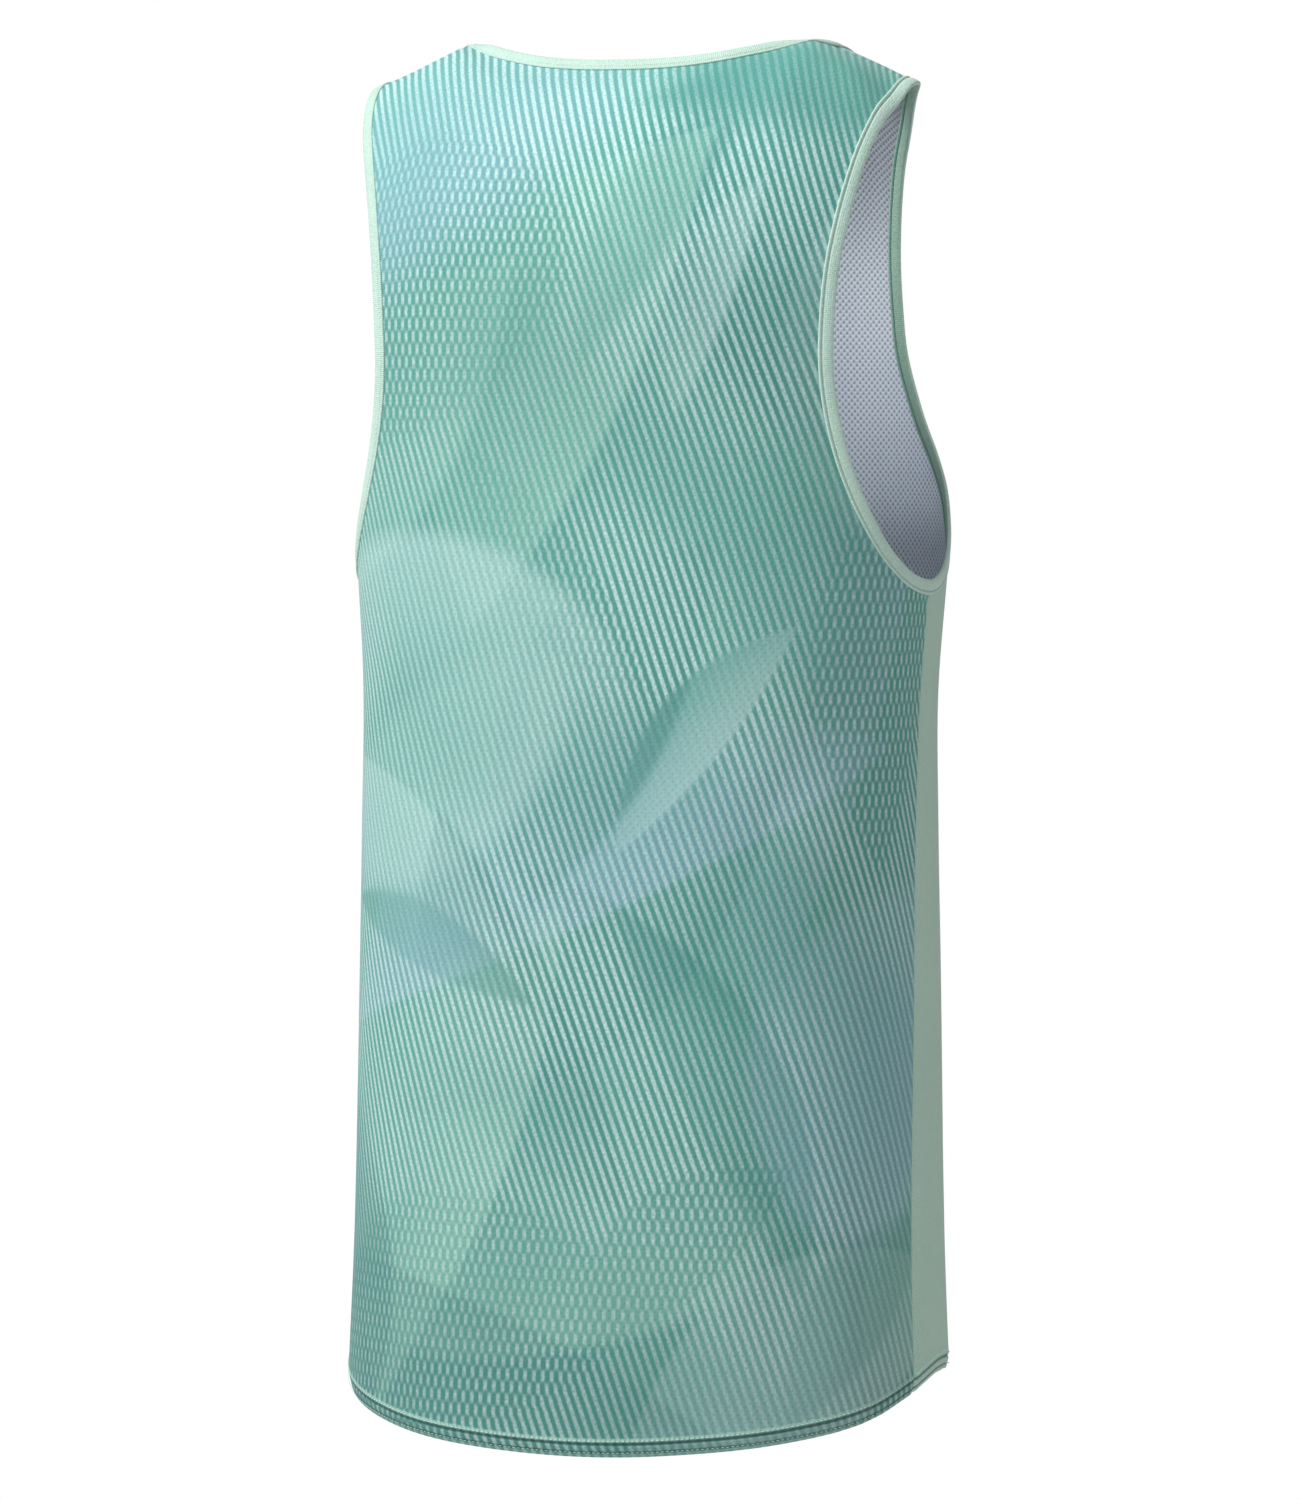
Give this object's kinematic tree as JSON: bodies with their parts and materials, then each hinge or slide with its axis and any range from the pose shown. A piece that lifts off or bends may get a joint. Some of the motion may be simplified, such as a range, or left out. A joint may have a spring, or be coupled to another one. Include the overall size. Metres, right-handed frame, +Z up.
{
  "type": "running singlet",
  "caption": "Sleeveless running top for the upper body, in its worn, filled-out shape, with racing-cut armholes, bound edges, mesh side panels and a dropped back hem.",
  "frame": {"origin": "the middle of the shoulder line, halfway between the two straps at the height where the wearer's shoulders carry them", "axes": "+Z up; the wearer faces -Y, so the back of the singlet is at +Y; the wearer's left is +X"},
  "size_m": [0.3198, 0.2377, 0.7288],
  "materials": {
    "printed_knit": "matte light polyester micro-mesh knit, printed with soft teal, mint and blue-lilac shapes and fine slanted pinstripes, plain grey-lilac inside",
    "side_mesh": "matte plain sage mesh knit",
    "binding": "matte pale mint rib knit with rows of stitching",
    "thread": "soft polyester sewing thread"
  },
  "bodies": {
    "root": {"back_panel": "printed_knit", "front_panel": "printed_knit", "side_panel_left": "side_mesh", "side_panel_right": "side_mesh", "neck_binding": "binding", "armhole_binding_left": "binding", "armhole_binding_right": "binding"}
  },
  "joints": []
}
